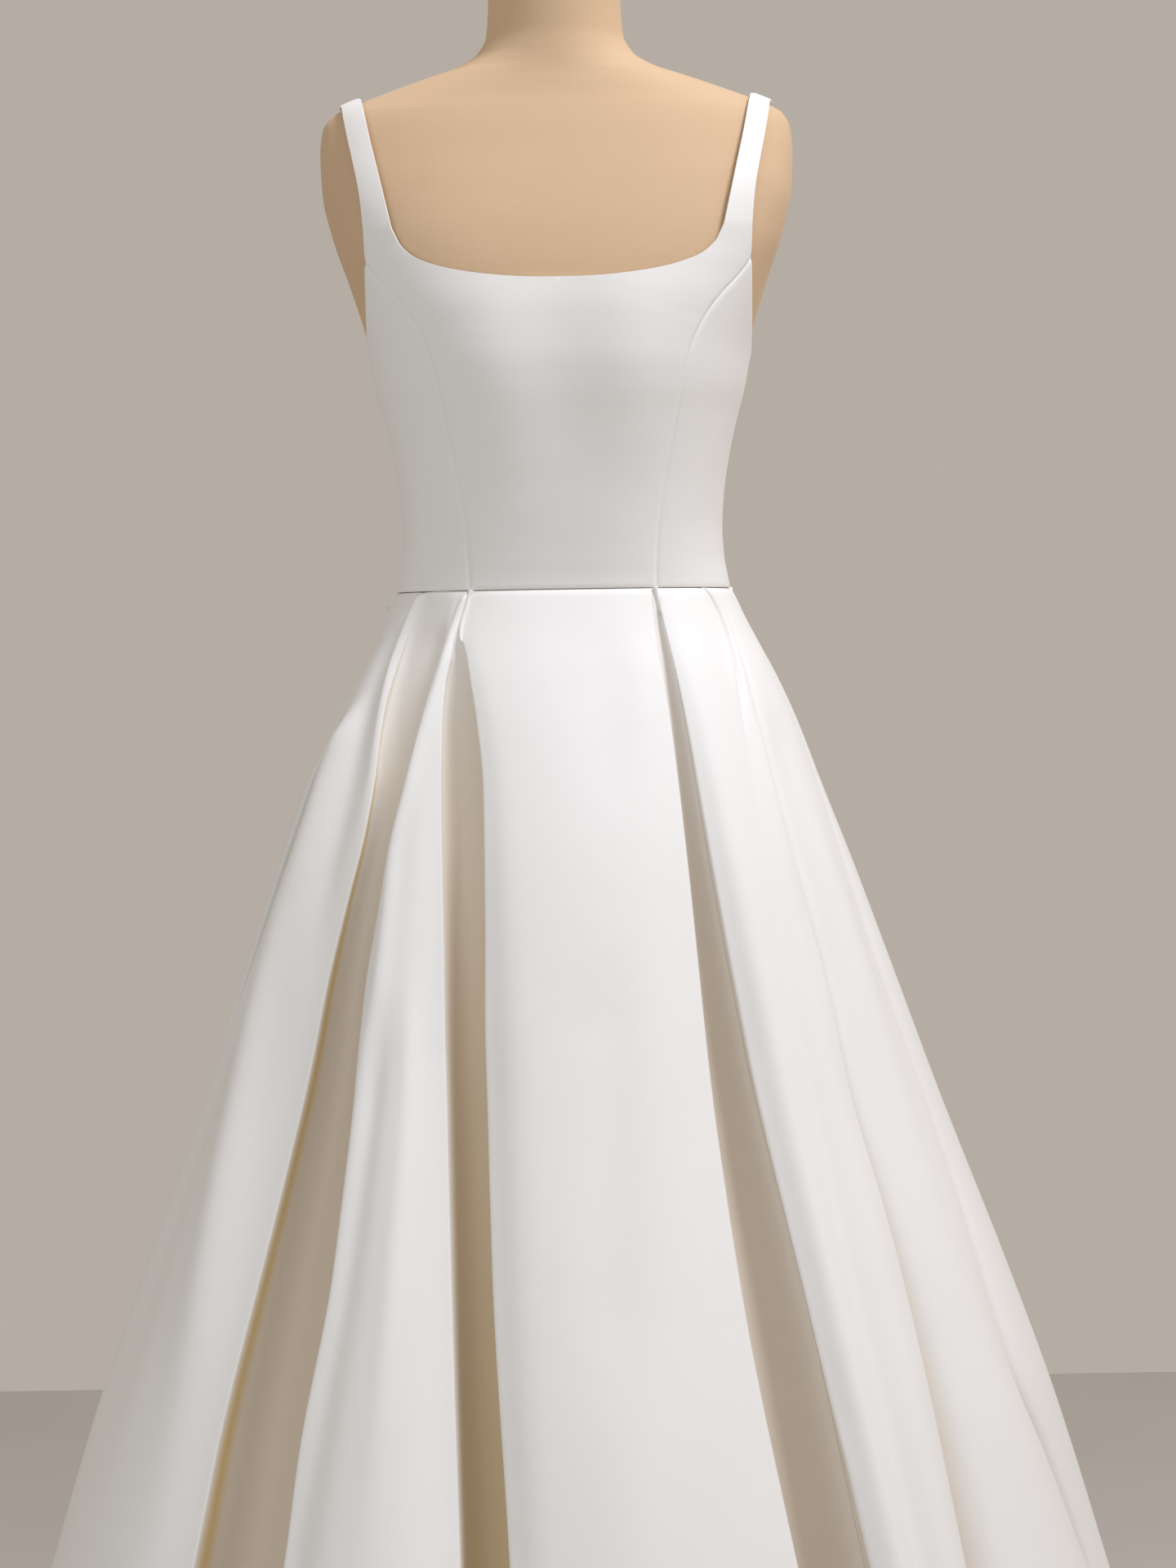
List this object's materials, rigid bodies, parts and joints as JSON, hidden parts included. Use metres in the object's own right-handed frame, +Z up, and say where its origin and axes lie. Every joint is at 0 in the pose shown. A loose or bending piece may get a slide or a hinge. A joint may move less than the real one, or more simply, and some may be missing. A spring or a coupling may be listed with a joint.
{
  "type": "wedding dress on a dress form",
  "caption": "Sleeveless satin wedding dress with a square neckline, princess seams and a pleated floor-length skirt, on a limbless dress form with a pole and round base.",
  "frame": {"origin": "centre of the stand base's underside, on the floor", "axes": "+Z up; the front of the dress looks to -Y; +X to the right of someone who faces the dress"},
  "size_m": [0.981, 0.9388, 1.535],
  "materials": {
    "satin": "ivory heavy satin, soft sheen",
    "form_cover": "tan linen cover, matt",
    "pole": "satin",
    "base": "semi-gloss enamel"
  },
  "bodies": {
    "root": {"front_panel": "satin", "side_front_left": "satin", "side_front_right": "satin", "side_back_left": "satin", "side_back_right": "satin", "back_panel_left": "satin", "back_panel_right": "satin", "skirt_centre_front": "satin", "skirt_side_front_left": "satin", "skirt_side_front_right": "satin", "skirt_side_back_left": "satin", "skirt_side_back_right": "satin", "skirt_back_left": "satin", "skirt_back_right": "satin", "form_torso": "form_cover", "stand_pole": "pole", "stand_base": "base"}
  },
  "joints": []
}
